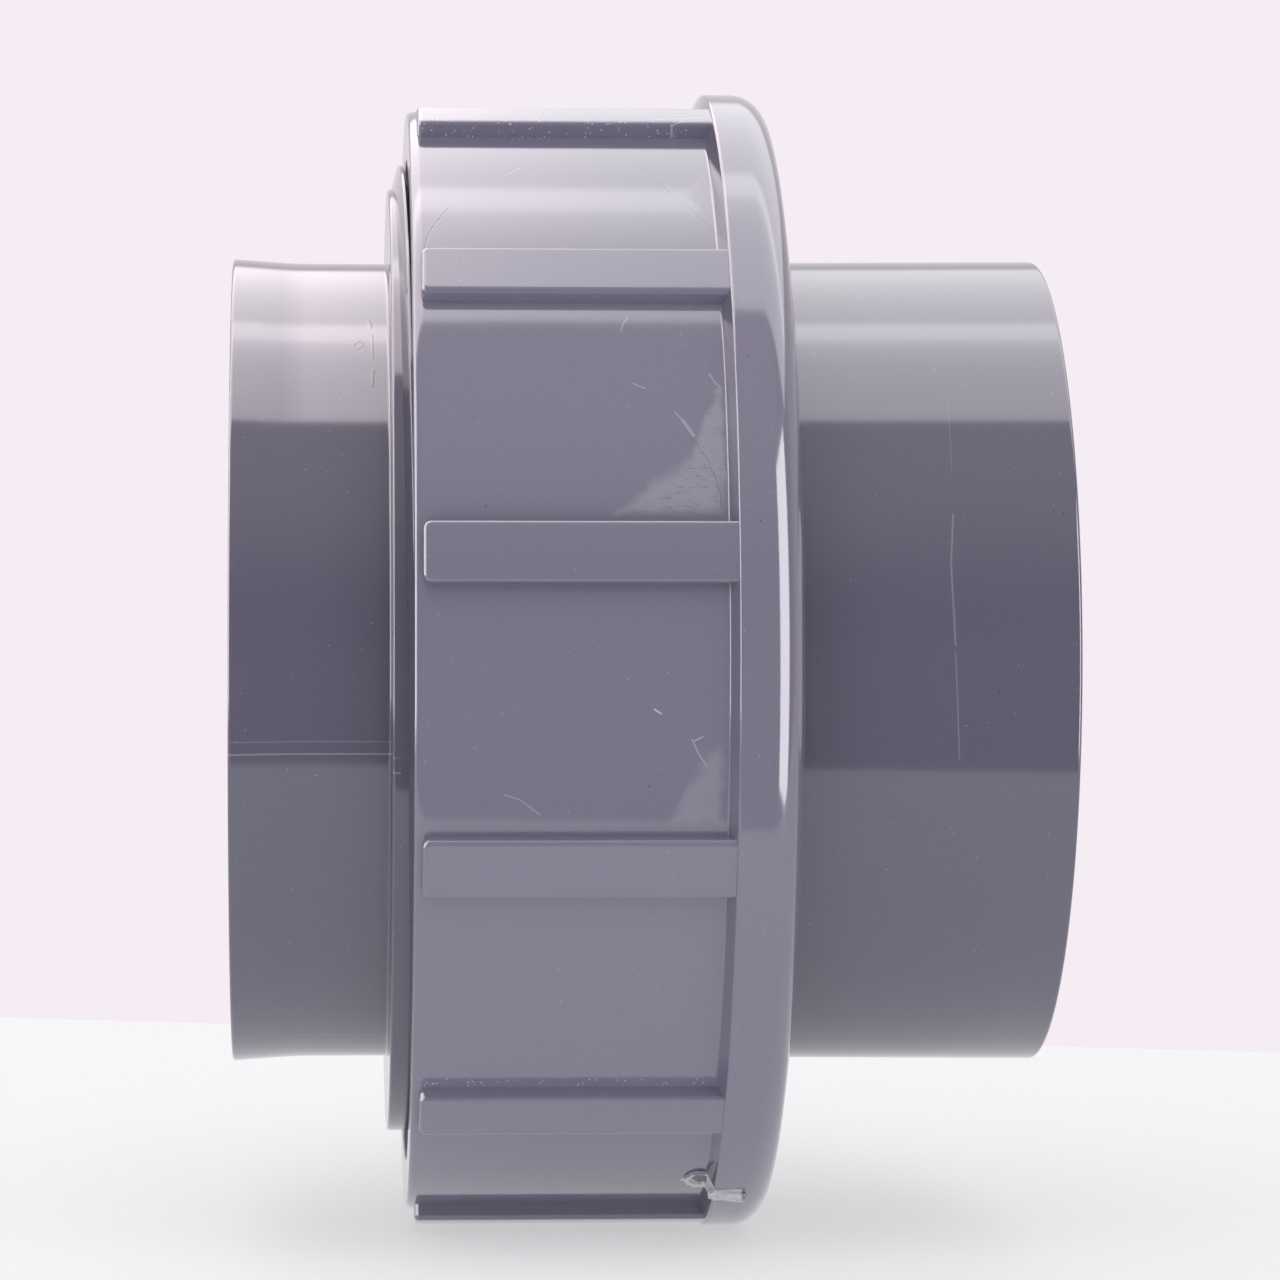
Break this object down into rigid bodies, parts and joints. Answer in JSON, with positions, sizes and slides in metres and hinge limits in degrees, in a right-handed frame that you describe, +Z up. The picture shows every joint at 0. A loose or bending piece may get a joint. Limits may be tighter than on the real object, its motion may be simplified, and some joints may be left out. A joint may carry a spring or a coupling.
{
  "type": "pipe union",
  "caption": "Plastic pipe union: two socket ends that meet face to face on a seal ring, drawn together by a large ribbed nut on a coarse thread.",
  "frame": {"origin": "on the pipe's axis, midway between the mouths of the two sockets", "axes": "+X along the pipe's axis, from the threaded end to the plain end; +Z up as the union lies in the picture; the camera looks along +Y"},
  "size_m": [0.1298, 0.1834, 0.1834],
  "materials": {
    "grey_pvc": "glossy moulded, dark blue-grey",
    "seal_rubber": "black EPDM rubber"
  },
  "bodies": {
    "threaded_end": {"threaded_end": "grey_pvc", "seal_ring": "seal_rubber"},
    "plain_end": {"plain_end": "grey_pvc"},
    "union_nut": {"union_nut": "grey_pvc"}
  },
  "joints": [
    {"name": "plain_end_draw", "type": "slide", "parent": "threaded_end", "child": "plain_end", "axis": [1, 0, 0], "range_m": [0, 0.036]},
    {"name": "nut_turn", "type": "hinge", "parent": "plain_end", "child": "union_nut", "pos_m": [0, 0, 0], "axis": [1, 0, 0], "range_deg": [0, 2160]}
  ],
  "couplings": [
    {"joint": "plain_end_draw", "follows": "nut_turn", "m_per_rad": 0.00095493}
  ]
}
